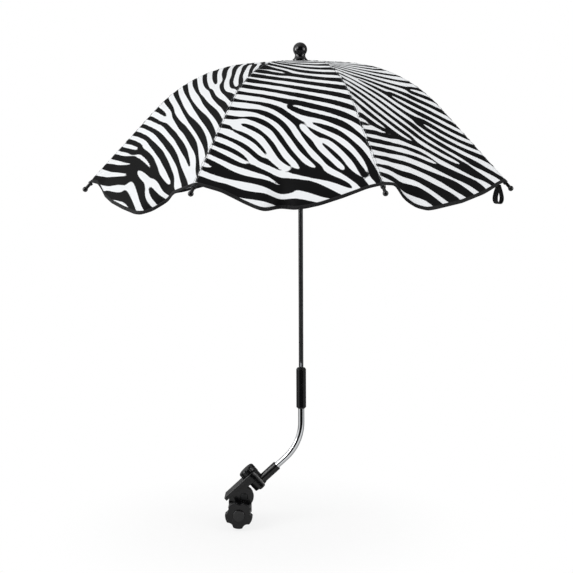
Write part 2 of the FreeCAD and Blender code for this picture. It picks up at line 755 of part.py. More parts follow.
def gore_section(half_panel_share, drop_share, tuck_share):
    """Closed outline of the cover on one plane through the pole."""
    outer = section_line(half_panel_share, drop_share, tuck_share, 0)
    inner = section_line(half_panel_share, drop_share, tuck_share, cover_thickness)
    closing = [Part.LineSegment(outer[-1], inner[-1]).toShape(), Part.LineSegment(inner[0], outer[0]).toShape()]
    wire = Part.Wire(Part.__sortEdges__(section_edges(outer) + section_edges(inner) + closing))
    if abs(half_panel_share) == 1:
        wire.translate(along_y * (-half_panel_share * gore_gap / 2))
    wire.rotate(zero, up, panel_angle(half_panel_share))
    return wire


def canopy_gore(index):
    """The share of the cover that one rib carries, half a panel each side, with the hem's tuck."""
    sections = [gore_section(*shares) for shares in gore_section_shares]
    return at_azimuth(Part.makeLoft(sections, True, True), rib_azimuth(index))


def canopy_cap():
    """Round patch over the middle of the cover."""
    foot = up * cap_bottom_z
    cap = rod(foot, up, cap_thickness, cap_radius)
    return on_pole(cap.cut(rod(foot, up, cap_thickness, pole_radius + run_clearance)))


def finial():
    """Ball on a flared base at the top of the pole."""
    base_top = finial_bottom_z + finial_base_height
    waist_z = finial_bottom_z + finial_waist_height
    ball_z = waist_z + math.sqrt(finial_ball_radius ** 2 - finial_waist_radius ** 2)
    ball_top = rz(0, ball_z + finial_ball_radius)
    foot = rz(0, finial_bottom_z)
    rim = rz(finial_base_radius, finial_bottom_z)
    rim_top = rz(finial_base_radius, finial_bottom_z + finial_base_height / 3)
    waist = rz(finial_waist_radius, waist_z)
    flare = rz((finial_waist_radius + rim_top.x) / 2 - finial_base_height / 4, base_top)
    ball = Part.Arc(waist, rz(finial_ball_radius, ball_z), ball_top)
    edges = [Part.LineSegment(foot, rim).toShape(), Part.LineSegment(rim, rim_top).toShape(),
             Part.Arc(rim_top, flare, waist).toShape(), ball.toShape(),
             Part.LineSegment(ball_top, foot).toShape()]
    body = Part.Face(Part.Wire(edges)).revolve(zero, up, 360)
    bore = rod(up * (finial_bottom_z - overrun), up, pole_into_finial + face_gap + overrun,
               pole_radius + run_clearance)
    return on_pole(body.cut(bore))


def hem_point(shares):
    """Hem of one section of the cover, turned to its place beside the rib."""
    point = section_line(*shares, cover_thickness / 2)[-1]
    return FreeCAD.Rotation(up, panel_angle(shares[0])).multVec(point)


def closure_strap():
    """Loop of flat ribbon sewn to the hem beside one corner."""
    beside, at_rib = gore_section_shares[1], gore_section_shares[2]
    run = hem_point(beside) - hem_point(at_rib)
    place = hem_point(at_rib) + run * strap_along_share
    fall = -run.z / math.hypot(run.x, run.y) * strap_width / 2
    top = place.z - fall - face_gap
    outer_x = math.hypot(place.x, place.y) + strap_thickness / 2
    bend = strap_loop_width / 2
    middle = outer_x - bend
    low = top - strap_length + bend

    def loop(half):
        left_low = rz(middle - half, low)
        right_low = rz(middle + half, low)
        left_top = rz(middle - half, top)
        right_top = rz(middle + half, top)
        return Part.Wire([Part.LineSegment(left_top, left_low).toShape(),
                          Part.Arc(left_low, rz(middle, low - half), right_low).toShape(),
                          Part.LineSegment(right_low, right_top).toShape(),
                          Part.LineSegment(right_top, left_top).toShape()])

    face = Part.Face(loop(bend)).cut(Part.Face(loop(bend - strap_thickness)))
    ribbon = across(face, -strap_width / 2, strap_width / 2)
    beside_deg = math.degrees(math.atan2(place.y, place.x))
    return at_azimuth(ribbon, rib_azimuth(strap_rib_index) + beside_deg)


os.makedirs("parts", exist_ok=True)
single_pieces = [clamp_body, rear_jaw_pad, pad_rubber, pad_shoe, screw_bush, clamp_screw, clamp_knob, knob_cap,
                 tilt_bolt, tilt_bracket, arm_socket, swivel_bolt, swivel_knob, lower_tube, coupler_sleeve, pole,
                 crown, runner, canopy_cap, finial, closure_strap]
for piece in single_pieces:
    save(piece.__name__, piece())
save("open_catch", spring_catch(open_catch_top_z))
save("closed_catch", spring_catch(closed_catch_top_z))
save("crown_wire", wire_ring(hinge_point.z))
save("runner_wire", wire_ring(runner_pivot.z))
for piece in (rib, rib_tip, stretcher, canopy_gore):
    for number in range(rib_count):
        save(piece.__name__ + "_" + str(number + 1), piece(number))
print("hinge", hinge_point.x, hinge_point.z, "lug", lug_point.x, lug_point.z, "pole x", pole_x, "pole y", plane_y)
print("runner pivot z", runner_pivot.z, "travel", runner_travel, "apex z", apex_z, "hub", hub_centre)
print("runner bottom closed", runner_bottom_z - runner_travel, "coupler", coupler_bottom_z, coupler_top_z)
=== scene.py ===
"""Dressing of a pram parasol: printed cover, hem binding, ribbon, ties, finishes and stage."""
import functools
import json
import math

import bpy
import numpy as np
from mathutils import Matrix, Vector


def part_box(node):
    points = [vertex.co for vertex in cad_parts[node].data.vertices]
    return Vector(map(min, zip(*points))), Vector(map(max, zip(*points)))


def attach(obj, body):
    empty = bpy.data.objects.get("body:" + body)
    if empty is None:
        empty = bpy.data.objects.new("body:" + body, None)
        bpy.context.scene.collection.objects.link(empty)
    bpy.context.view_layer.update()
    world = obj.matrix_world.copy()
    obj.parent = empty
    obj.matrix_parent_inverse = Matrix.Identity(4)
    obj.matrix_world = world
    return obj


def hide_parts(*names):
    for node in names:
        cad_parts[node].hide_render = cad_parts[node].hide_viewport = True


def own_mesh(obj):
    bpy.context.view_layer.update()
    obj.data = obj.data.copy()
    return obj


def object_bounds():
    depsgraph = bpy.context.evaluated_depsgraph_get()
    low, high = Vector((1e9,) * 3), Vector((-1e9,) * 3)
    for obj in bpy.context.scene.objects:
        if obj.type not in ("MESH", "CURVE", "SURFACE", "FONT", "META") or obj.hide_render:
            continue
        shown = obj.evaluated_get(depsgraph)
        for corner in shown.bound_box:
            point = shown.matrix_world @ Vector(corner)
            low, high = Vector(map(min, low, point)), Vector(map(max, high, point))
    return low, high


bl_info = {
    "name": "Pram Parasol Dressing",
    "version": (1, 0, 0),
    "blender": (4, 5, 0),
    "location": "View3D > Sidebar > Parasol",
    "description": "Sews the printed cover on the packed parasol frame and finishes every part",
    "category": "Object",
}

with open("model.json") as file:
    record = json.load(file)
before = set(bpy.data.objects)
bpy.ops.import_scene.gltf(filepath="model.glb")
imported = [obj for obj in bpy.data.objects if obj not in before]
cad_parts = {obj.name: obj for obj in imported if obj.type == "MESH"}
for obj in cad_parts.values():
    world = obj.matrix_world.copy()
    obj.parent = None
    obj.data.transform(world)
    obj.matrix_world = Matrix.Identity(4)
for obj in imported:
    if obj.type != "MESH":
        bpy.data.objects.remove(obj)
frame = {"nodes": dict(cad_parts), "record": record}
cad_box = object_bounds()

RIBS = 8
HALF_PANEL = math.pi / RIBS
CANOPY_TURN = math.radians(-3.0)
POLE_LOW, POLE_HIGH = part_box("pole")
AXIS_X = (POLE_LOW[0] + POLE_HIGH[0]) / 2
AXIS_Y = (POLE_LOW[1] + POLE_HIGH[1]) / 2
AXIS = np.array((AXIS_X, AXIS_Y, 0.0))
UP = np.array((0.0, 0.0, 1.0))
APEX_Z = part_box("canopy_gore_1")[1][2]


def linear(colour_hex):
    """sRGB hex colour as linear RGBA."""
    parts = [int(colour_hex[i:i + 2], 16) / 255 for i in (0, 2, 4)]
    return tuple(c / 12.92 if c <= 0.04045 else ((c + 0.055) / 1.055) ** 2.4 for c in parts) + (1.0,)


def times(colour, factor):
    """A linear colour made lighter or darker."""
    return tuple(min(1.0, factor * c) for c in colour[:3]) + (1.0,)


# Settings that a user would change, each with its name, description and default

def scalar(name, description, default, **kind):
    """A number, with what it measures."""
    return bpy.props.FloatProperty(name=name, description=description, default=default, **kind)


def metres(name, description, default):
    """A length in metres."""
    return scalar(name, description, default, min=0.0, unit="LENGTH", subtype="DISTANCE", precision=5)


def degrees(name, description, default):
    """An angle, given in degrees."""
    return scalar(name, description, math.radians(default), subtype="ANGLE")


def srgb(name, description, default):
    """A colour, given as sRGB hex."""
    return bpy.props.FloatVectorProperty(name=name, description=description, default=linear(default), size=4,
                                         min=0.0, max=1.0, subtype="COLOR")


class ParasolCoverSettings(bpy.types.PropertyGroup):
    """Sizes of the sewn cover."""

    corner_radius: metres("Corner radius", "Pole axis to a corner of the cover", 0.360)
    hole_radius: metres("Hole radius", "Hole in the cover round the pole", 0.009)
    crest_reach: metres("Crest reach", "Radius where the flat crest ends", 0.100)
    shoulder_radius: metres("Shoulder radius", "Bend of the cover over a rib", 0.250)
    crest_slope: degrees("Crest slope", "Slope where the crest ends", 7.0)
    skirt_slope: degrees("Skirt slope", "Slope of the cover at its corners", 46.5)
    hem_slope: degrees("Hem slope", "Slope of the loose flap at the hem", 74.0)
    cloth: metres("Cloth", "Thickness of the printed cloth, drawn with its coating", 0.0006)
    tape_width: metres("Binding width", "Width of the hem binding on each face", 0.0052)
    sag: metres("Sag", "How far the cloth dips between two ribs", 0.005)
    tie_wire: metres("Tie thread", "Thickness of the threads that tie the cover", 0.0009)
    ribbon_width: metres("Ribbon width", "Width of the closing ribbon", 0.0105)


class ParasolPrintSettings(bpy.types.PropertyGroup):
    """Stripes of the cover's print."""

    stripe_pitch: metres("Stripe pitch", "Usual distance from one dark stripe to the next", 0.0172)
    edge: metres("Edge", "How far the ink bleeds at a stripe's edge", 0.0002)
    ground: srgb("Ground", "Cloth between the stripes", "F1F3F5")
    ink: srgb("Ink", "Printed stripes", "0C0C0D")
    ground_inside: srgb("Ground inside", "Unprinted face of the cloth", "DCDEDF")
    ink_inside: srgb("Ink inside", "Stripes that show through on the inside", "6C6E70")


class ParasolFinishSettings(bpy.types.PropertyGroup):
    """Colours of the hard parts and trims."""

    nylon: srgb("Nylon", "Moulded clamp, joint, coupler and runner", "09090A")
    gloss: srgb("Gloss", "Polished finial, tips and knob cap", "060607")
    enamel: srgb("Enamel", "Stoved pole and ribs", "222324")
    tape: srgb("Binding", "Woven hem binding and ribbon", "0F0F10")


class ParasolStageSettings(bpy.types.PropertyGroup):
    """Floor, light and camera."""

    floor_drop: metres("Floor drop", "Floor below the lowest point of the parasol", 0.004)
    floor: srgb("Floor", "Paper floor", "FFFFFF")
    key_power: scalar("Key", "Power of the key light", 26.0, unit="POWER")
    fill_power: scalar("Fill", "Power of the fill light", 10.0, unit="POWER")
    strip_power: scalar("Strips", "Power of the brighter strip light", 22.0, unit="POWER")
    sky: scalar("Sky", "Strength of the even light all round", 0.72)
    focal: scalar("Lens", "Focal length of the camera on a 36 mm sensor, in mm", 81.336)


# Geometry of the cover, in metres; radii are from the pole's axis

ROW_STEP, COLUMN_STEP = 0.0044, 0.0040


def rib_azimuth(number):
    """Azimuth of a rib, numbered from 0. Zero faces the viewer."""
    return CANOPY_TURN + 2 * HALF_PANEL * (number - (RIBS // 2 - 1) / 2)


def outward(azimuth):
    """Unit vector from the pole at an azimuth."""
    return np.array((math.sin(azimuth), -math.cos(azimuth), 0.0))


def sideways(azimuth):
    """Unit vector towards growing azimuth."""
    return np.array((math.cos(azimuth), math.sin(azimuth), 0.0))


def spot_at(azimuth, radius, height):
    """Point at an azimuth, radius and height."""
    return AXIS + outward(azimuth) * radius + UP * height


def run_along(points):
    """Distance along a line of points."""
    return np.linalg.norm(np.diff(points, axis=0, prepend=points[:1]), axis=1).cumsum()


def run_down(radius, height, narrow=1.0):
    """Distance along a line of radii and heights, with the radii made smaller."""
    return np.concatenate(([0], np.cumsum(np.hypot(np.diff(radius) * narrow, np.diff(height)))))


def rim(grid):
    """What lies round the edge of a grid, in order."""
    return np.concatenate((grid[0], grid[1:, -1], grid[-1, -2::-1], grid[-2:0:-1, 0]))


def cover_line(cover, step):
    """Radius, height and distance along a rib's cover line, from the hole to the corner."""
    low, high, shoulder = cover.crest_slope, cover.skirt_slope, cover.shoulder_radius
    crest = (cover.crest_reach - cover.hole_radius) / math.sin(low)
    turn = np.linspace(0, low, max(2, round(crest * low / step)), endpoint=False)
    radius = [cover.hole_radius + crest * np.sin(turn)]
    height = [APEX_Z - crest + crest * np.cos(turn)]
    centre_r = cover.crest_reach - shoulder * math.sin(low)
    centre_z = APEX_Z - crest + crest * math.cos(low) - shoulder * math.cos(low)
    turn = np.linspace(low, high, round(shoulder * (high - low) / step), endpoint=False)
    radius.append(centre_r + shoulder * np.sin(turn))
    height.append(centre_z + shoulder * np.cos(turn))
    bend_r = centre_r + shoulder * math.sin(high)
    bend_z = centre_z + shoulder * math.cos(high)
    count = round((cover.corner_radius - bend_r) / math.cos(high) / step)
    run = np.linspace(bend_r, cover.corner_radius, count + 1)
    radius.append(run)
    height.append(bend_z - (run - bend_r) * math.tan(high))
    radius, height = np.concatenate(radius), np.concatenate(height)
    return radius, height, run_down(radius, height)


# Hem of each panel, seen from outside, left rib to right rib: share of the width, drop and tuck in mm
HEM_SHAPES = {
    "rolled": ((0, 1, 0), (.03, 1.5, 0), (.15, 11, 0), (.27, 27, 0), (.335, 35, -2), (.375, 38.5, -3),
               (.405, 37, 2), (.435, 32, 13), (.465, 30, 17), (.495, 32.5, 10), (.54, 35.5, 2),
               (.60, 34, 0), (.67, 30, 0), (.79, 19.5, 0), (.92, 6, 0), (1, 1, 0)),
    "turned": ((0, 1, 0), (.09, 2, 3), (.125, 6, 9), (.155, 17, 13), (.195, 33, 7), (.24, 40.5, -2),
               (.30, 39.5, -2), (.36, 37.5, 0), (.55, 31.5, 0), (.76, 20, 0), (.91, 7, 0), (1, 1, 0)),
    "dipped": ((0, 1, 0), (.085, 3, 2), (.115, 11, 9), (.19, 22, 5), (.32, 32, 0), (.46, 40, -2),
               (.60, 46.5, -2), (.65, 46.5, 0), (.70, 39, 7), (.76, 24, 13), (.83, 14, 6), (.93, 8, 0),
               (1, 1, 0)),
    "tucked": ((0, 1, 0), (.10, 3, 2), (.25, 6, 6), (.42, 8, 10), (.60, 7.5, 9), (.80, 5, 5),
               (.92, 2.5, 2), (1, 1, 0)),
}
# Shape of each panel's hem, and -1 where it is mirrored
PANEL_HEMS = (("dipped", 1), ("rolled", 1), ("turned", 1), ("tucked", 1), ("dipped", 1), ("rolled", -1),
              ("turned", -1), ("tucked", -1))


def hem_curves(panel, shares):
    """Drop and tuck of one panel's hem at shares of its width, in metres."""
    name, hand = PANEL_HEMS[panel]
    place, drop, tuck = np.array(HEM_SHAPES[name]).T
    # A brush rounds the corners. Its softness and reach are shares of the width, in steps of 0.001
    softness, reach = 0.011, 0.06
    fine = np.linspace(-0.2, 1.2, 1401)
    brush = np.exp(-0.5 * (np.linspace(-reach, reach, 121) / softness) ** 2)
    brush /= brush.sum()
    at = shares if hand > 0 else 1 - shares
    return [np.interp(at, fine, np.convolve(np.interp(fine, place, line), brush, mode="same")) / 1000
            for line in (drop, tuck)]


def column_shares(width):
    """Shares of a panel's width for its columns: closer beside the seams, even elsewhere."""
    near, first_even = np.array((0.0, 0.0012, 0.0026, 0.0048, 0.008)), 0.012
    even = np.linspace(first_even / width, 0.5, round(0.5 * width / COLUMN_STEP))
    half = np.concatenate((near / width, even))
    return np.concatenate((half, (1 - half)[-2::-1])), len(half)


def panel_grid(cover, panel):
    """Points, flat cloth and normals of one panel, row by row from the hole.

    With them come the columns in half its width and each row's distance along the rib.
    """
    # A rib seam lies in a crease, and the cloth beside it is puckered in uneven waves
    crease_depth, crease_width = 0.0007, 0.0014
    pucker_depth, pucker_reach, pucker_start, wave, drift, swing = 0.00055, 0.009, 0.05, 0.0021, 0.031, 3
    # A tucked hem draws in the cloth above it too, over this length and by this share
    tuck_length, tuck_share = 0.085, 0.45
    # Loose flap: its least drop, the drop from which it hangs fully, its rows and its share of the tuck
    least_drop, full_drop, flap_rows, flap_tuck = 0.0012, 0.02, 10, 0.75
    radius, height, along = cover_line(cover, ROW_STEP)
    share, half_columns = column_shares(2 * cover.corner_radius * math.sin(HALF_PANEL))
    drop, tuck = hem_curves(panel, share)
    drop = np.maximum(drop, least_drop)
    middle = rib_azimuth(panel) + HALF_PANEL
    across, out = sideways(middle), outward(middle)
    bow = 4 * share * (1 - share)
    middle_along = run_down(radius, height, math.cos(HALF_PANEL))
    total = along[-1]
    fall = -np.gradient(height, along)
    points, flat = [], []
    for r, z, s, down, normal_out in zip(radius, height, along, middle_along, fall):
        normal_up = math.sqrt(1 - normal_out ** 2)
        dip = cover.sag * bow * math.sin(math.pi * min(1.0, s / total)) ** 1.2
        fold = tuck * tuck_share * max(0.0, 1 - (total - s) / tuck_length) ** 2.2
        from_rib = np.minimum(share, 1 - share) * r * (2 * math.sin(HALF_PANEL))
        crease = crease_depth * np.exp(-(from_rib / crease_width) ** 2)
        ripple = np.sin(s / wave + swing * np.sin(s / drift + panel))
        pucker = pucker_depth * np.exp(-from_rib / pucker_reach) * ripple * min(1.0, s / pucker_start)
        inward = dip + fold + crease + pucker * (from_rib > 0)
        reach = r * math.cos(HALF_PANEL) - inward * normal_out
        side = r * math.sin(HALF_PANEL) * (2 * share - 1)
        points.append(AXIS + reach[:, None] * out + side[:, None] * across
                      + np.outer(z - inward * normal_up, UP))
        flat.append(np.stack((side, np.full_like(side, down)), axis=1))
    base, base_flat = points[-1], flat[-1]
    for row in range(1, flap_rows + 1):
        w = row / flap_rows
        lean = cover.skirt_slope + (cover.hem_slope - cover.skirt_slope) * w * np.minimum(1, drop / full_drop)
        push = drop * w / np.tan((cover.skirt_slope + lean) / 2) - tuck * (w ** 1.5) * flap_tuck
        points.append(base + push[:, None] * out - np.outer(drop * w, UP))
        down = drop * w / math.sin(cover.hem_slope)
        flat.append(base_flat + np.stack((np.zeros_like(drop), down), axis=1))
    points, flat = np.array(points), np.array(flat)
    normals = np.cross(np.gradient(points, axis=0), np.gradient(points, axis=1))
    normals /= np.maximum(np.linalg.norm(normals, axis=2, keepdims=True), 1e-12)
    return points, flat, normals, half_columns, along


# Print: stripes grown on the flat cloth, so that they fork, taper and leave islands as a zebra's do

def stripe_lean(panel, x, y):
    """Lean of the stripes over one panel's flat cloth, in radians from its width. Each is cut its own way."""
    length, half_width = 0.43, 0.14
    down, aside = y / length, x / half_width
    if panel == 0:
        lean = -30 - 20 * np.clip(0.55 + 0.7 * aside, 0, 1) + 24 * np.clip(down - 0.55, 0, 1)
    elif panel == 1:
        lean = -18 - 24 * np.clip(down * 1.3, 0, 1) * (0.8 + 0.5 * aside) + 8 * np.clip(down - 0.7, 0, 1)
    elif panel == 2:
        lean = -24 - 10 * down + 20 * np.clip(-aside, 0, 1) * np.clip(1.25 - down, 0, 1)
    else:
        hand = 1 if panel % 2 else -1
        lean = (-24, -58, 18, -40, 42)[panel - 3] - 24 * (down - 0.5) * hand + 10 * aside
    return np.radians(lean)


def stripe_field(settings, panel):
    """Smooth field over one panel's flat cloth, above zero where it is inked, with its corner and spacing."""
    spacing, columns, rows, above = 0.0023, 160, 224, 0.02
    x = (np.arange(columns) - columns / 2) * spacing
    y = np.arange(rows) * spacing - above
    grid_x, grid_y = np.meshgrid(x, y)
    rng = np.random.default_rng(811 + 17 * panel)
    wave_x, wave_y = np.meshgrid(np.fft.fftfreq(columns, spacing), np.fft.fftfreq(rows, spacing))
    wave, heading = np.hypot(wave_x, wave_y), np.arctan2(wave_y, wave_x)
    # Slow changes of lean, ink and width over the cloth, each with its softness in cycles per metre
    slow = rng.standard_normal((3, rows, columns))
    softness = np.array((7.0, 6.0, 17.0))[:, None, None]
    slow = np.fft.ifft2(np.fft.fft2(slow) * np.exp(-(wave / softness) ** 2)).real
    slow /= slow.std(axis=(1, 2), keepdims=True)
    wander, more_ink, more_width = 0.26, 0.20, 0.26
    # Flat cloth has y down the panel, so a stripe that falls to the right leans the other way here
    lean = -stripe_lean(panel, grid_x, grid_y) + wander * slow[0]
    # Stripes are narrower at the crown and grow wider over a length
    usual, crown, growth, length = settings.stripe_pitch, 0.74, 0.52, 0.40
    pitch = usual * (crown + growth * np.clip(grid_y / length, 0, 1))
    # Filters of several headings and pitches, with their band, fan, and pull to the wanted heading and pitch
    headings, pitches, band, fan, heading_pull, pitch_reach = 14, (0.62, 1.0, 1.5), 0.2, 0.25, 9, 0.34
    field = rng.standard_normal((rows, columns))
    kernels, weights = [], []
    for step in range(headings):
        angle = math.pi * step / headings
        across = angle + math.pi / 2
        apart = np.abs((heading - across + math.pi / 2) % math.pi - math.pi / 2)
        pull = np.exp(heading_pull * (np.cos(2 * (lean - angle)) - 1))
        for scale in pitches:
            middle = 1 / (usual * scale)
            kernels.append(np.exp(-((wave - middle) / (band * middle)) ** 2 - (apart / fan) ** 2))
            weights.append(pull * np.exp(-(np.log(pitch / usual / scale) / pitch_reach) ** 2))
    weights = np.array(weights)
    weights /= weights.sum(axis=0)
    rounds, gain, lift, slow_lift = 16, 1.9, 0.08, 0.16
    for _ in range(rounds):
        seen = np.fft.fft2(field)
        grown = sum(w * np.fft.ifft2(seen * k).real for w, k in zip(weights, kernels))
        field = np.tanh(gain * grown / grown.std() + lift + slow_lift * slow[1])
    grown = grown / grown.std() + more_ink * slow[1] + more_width * slow[2]
    slant, bare_share = 0.33, 0.465
    on_cloth = np.abs(grid_x) < slant * grid_y
    return grown - np.quantile(grown[on_cloth], bare_share), x[0], y[0], spacing


def read_field(field, flat):
    """The field at flat cloth coordinates, smooth between its grid points."""
    values, x0, y0, spacing = field
    column = np.clip((flat[..., 0] - x0) / spacing, 0, values.shape[1] - 1.001)
    row = np.clip((flat[..., 1] - y0) / spacing, 0, values.shape[0] - 1.001)
    c, r = column.astype(int), row.astype(int)
    a, b = column - c, row - r
    return ((1 - b) * ((1 - a) * values[r, c] + a * values[r, c + 1])
            + b * ((1 - a) * values[r + 1, c] + a * values[r + 1, c + 1]))


# Meshes and nodes

def mesh_piece(name, points, faces, materials, smooth=True):
    """A new mesh object in the scene."""
    mesh = bpy.data.meshes.new(name)
    mesh.from_pydata([tuple(p) for p in points], [], [tuple(f) for f in faces])
    for material in materials:
        mesh.materials.append(material)
    for polygon in mesh.polygons:
        polygon.use_smooth = smooth
    mesh.update()
    piece = bpy.data.objects.new(name, mesh)
    bpy.context.collection.objects.link(piece)
    return piece


def grid_faces(rows, columns, start=0, flip=False, wrap=False):
    """Quads of a grid of points stored row by row."""
    faces = []
    for r in range(rows - 1):
        for c in range(columns if wrap else columns - 1):
            d = (c + 1) % columns
            quad = (start + r * columns + c, start + (r + 1) * columns + c,
                    start + (r + 1) * columns + d, start + r * columns + d)
            faces.append(quad[::-1] if flip else quad)
    return faces


def closed_tube(name, rings, material):
    """A tube through rings of points, with closed ends."""
    rings = np.array(rings)
    count, around = rings.shape[:2]
    last = (count - 1) * around
    ends = [range(around), range(last + around - 1, last - 1, -1)]
    return mesh_piece(name, rings.reshape(-1, 3), grid_faces(count, around, wrap=True) + ends, (material,))


def thicken(context, piece, thickness, offset):
    """Give a sheet its thickness, as part of its mesh."""
    modifier = piece.modifiers.new("Thickness", "SOLIDIFY")
    modifier.thickness = thickness
    modifier.offset = offset
    with context.temp_override(object=piece, active_object=piece):
        bpy.ops.object.modifier_apply(modifier=modifier.name)


def set_uv(mesh, name, per_point):
    """A UV map from one pair of coordinates for each point."""
    layer = mesh.uv_layers.new(name=name)
    corner_points = np.empty(len(mesh.loops), dtype=np.int32)
    mesh.loops.foreach_get("vertex_index", corner_points)
    layer.data.foreach_set("uv", np.asarray(per_point, dtype=np.float32)[corner_points].ravel())


def set_value(mesh, name, per_point):
    """A float attribute from one value for each point."""
    layer = mesh.attributes.new(name, "FLOAT", "POINT")
    layer.data.foreach_set("value", np.asarray(per_point, dtype=np.float32).ravel())


def add_node(tree, kind, sockets=None, **settings):
    """Add a shader node with its settings, its sockets' values or links, and return its outputs.

    A Mix of colours has its factor in socket 0, the colours in 6 and 7, and the result in output 2.
    """
    made = tree.nodes.new("ShaderNode" + kind)
    for key, value in settings.items():
        setattr(made, key, value)
    for key, value in (sockets or {}).items():
        if isinstance(value, bpy.types.NodeSocket):
            tree.links.new(value, made.inputs[key])
        else:
            made.inputs[key].default_value = value
    return made.outputs


def band_scale(pitch):
    """Scale at which a wave texture's bands along X or Y lie a distance apart."""
    return math.pi / (10 * pitch)


def start_material(name):
    """An empty node material, and what adds nodes to it."""
    material = bpy.data.materials.new(name)
    material.use_nodes = True
    material.node_tree.nodes.clear()
    return material, functools.partial(add_node, material.node_tree)


def printed_taffeta(name, ground, ink, roughness):
    """Polyester taffeta, plain woven and screen printed: an even matt ground, with ink a little smoother."""
    prints = bpy.context.scene.parasol_print
    material, add = start_material(name)
    flat = add("UVMap", uv_map="flat")[0]
    stripes = add("Attribute", attribute_name="print")["Fac"]
    # Ink creeps along single threads, drawn 1.2 mm long so that it shows
    creep_size, creep_depth = 2 * 0.0012, 0.16
    creep = add("TexNoise", {"Vector": flat, "Scale": 1 / creep_size, "Detail": 2.0})["Fac"]
    ragged = add("Math", {0: creep, 1: creep_depth, 2: -creep_depth / 2}, operation="MULTIPLY_ADD")[0]
    field = add("Math", {0: stripes, 1: ragged}, operation="ADD")[0]
    bleed = 2 * math.pi * prints.edge / prints.stripe_pitch
    inked = add("MapRange", {"Value": field, "From Min": -bleed, "From Max": bleed},
                interpolation_type="SMOOTHSTEP")[0]
    # Dye takes unevenly over a hand's breadth, 60 mm
    patch = 0.06
    patchy = add("TexNoise", {"Vector": flat, "Scale": 1 / patch, "Detail": 3.0})["Fac"]
    pale = add("Mix", {0: patchy, 6: ground, 7: times(ground, 0.95)}, data_type="RGBA")[2]
    dark = add("Mix", {0: patchy, 6: ink, 7: times(ink, 1.35)}, data_type="RGBA")[2]
    colour = add("Mix", {0: inked, 6: pale, 7: dark}, data_type="RGBA")[2]
    # Threads lie 0.25 mm apart on the real cloth and are drawn 0.9 mm apart so that the weave shows
    thread = {"Vector": flat, "Scale": band_scale(0.0009), "Distortion": 0.6}
    warp, weft = (add("TexWave", thread, bands_direction=way)["Fac"] for way in "XY")
    weave = add("Math", {0: warp, 1: weft}, operation="MULTIPLY")[0]
    # Lockstitch beside each rib seam, a stitch every 3.2 mm on a line 2.2 mm from it
    line, half_thread, every, stitch_share = 0.0022, 0.0004, 0.0032, 0.68
    seam = add("SeparateXYZ", {0: add("UVMap", uv_map="seam")[0]})
    row = add("Math", {0: seam["X"], 1: line, 2: half_thread}, operation="COMPARE")[0]
    count = add("Math", {0: seam["Y"], 1: every}, operation="DIVIDE")[0]
    cycle = add("Math", {0: count}, operation="FRACT")[0]
    dash = add("Math", {0: cycle, 1: stitch_share}, operation="LESS_THAN")[0]
    stitch = add("Math", {0: row, 1: dash}, operation="MULTIPLY")[0]
    sewn = add("Mix", {0: stitch, 6: colour, 7: linear("77797B")}, data_type="RGBA")[2]
    relief = add("Math", {0: stitch, 1: 1.6, 2: weave}, operation="MULTIPLY_ADD")[0]
    bump = add("Bump", {"Height": relief, "Strength": 0.35, "Distance": 0.00018})[0]
    rough = add("MapRange", {"Value": inked, "To Min": roughness, "To Max": roughness - 0.1})[0]
    skin = add("BsdfPrincipled", {
        "Base Color": sewn, "Roughness": rough, "Specular IOR Level": 0.05, "Sheen Weight": 0.01,
        "Sheen Roughness": 0.5, "Normal": bump})[0]
    add("OutputMaterial", {"Surface": skin})
    return material


def grosgrain(name, colour):
    """Polyester grosgrain, tightly woven with cross ribs: dull black with a faint ribbed shine."""
    material, add = start_material(name)
    along = add("UVMap", uv_map="flat")[0]
    # Cross ribs lie 0.7 mm apart on the real tape and are drawn 1.4 mm apart so that they show
    ribs = {"Vector": along, "Scale": band_scale(0.0014), "Distortion": 0.3}
    rib = add("TexWave", ribs, bands_direction="X")["Fac"]
    # Wear comes in patches of 20 mm
    patch = 0.02
    worn = add("TexNoise", {"Vector": along, "Scale": 1 / patch, "Detail": 4.0})["Fac"]
    shade = add("Mix", {0: worn, 6: colour, 7: times(colour, 2.1)}, data_type="RGBA")[2]
    bump = add("Bump", {"Height": rib, "Strength": 0.6, "Distance": 0.0002})[0]
    rough = add("MapRange", {"Value": rib, "To Min": 0.86, "To Max": 0.62})[0]
    skin = add("BsdfPrincipled", {
        "Base Color": shade, "Roughness": rough, "Specular IOR Level": 0.2, "Sheen Weight": 0.03,
        "Normal": bump})[0]
    add("OutputMaterial", {"Surface": skin})
    return material


def bonded_thread(name):
    """Bonded nylon thread, twisted: lighter diagonal bands of painted sheen stand for the soft broken shine
    of its slanting twist.
    """
    material, add = start_material(name)
    # Diagonal bands of painted sheen lie a little wider than this scale says, so the twist repeats every 0.9
    # mm
    twist = {"Vector": add("TexCoord")["Object"], "Scale": band_scale(0.0008)}
    twist_sheen_bands = add("TexWave", twist, bands_direction="DIAGONAL")["Fac"]
    # Painted sheen: the thread's dark colour is lightened along the diagonal bands, standing in for light
    # caught by the twist
    shade = add("Mix", {0: twist_sheen_bands, 6: linear("101113"), 7: linear("2E2F32")}, data_type="RGBA")[2]
    skin = add("BsdfPrincipled", {"Base Color": shade, "Roughness": 0.6})[0]
    add("OutputMaterial", {"Surface": skin})
    return material


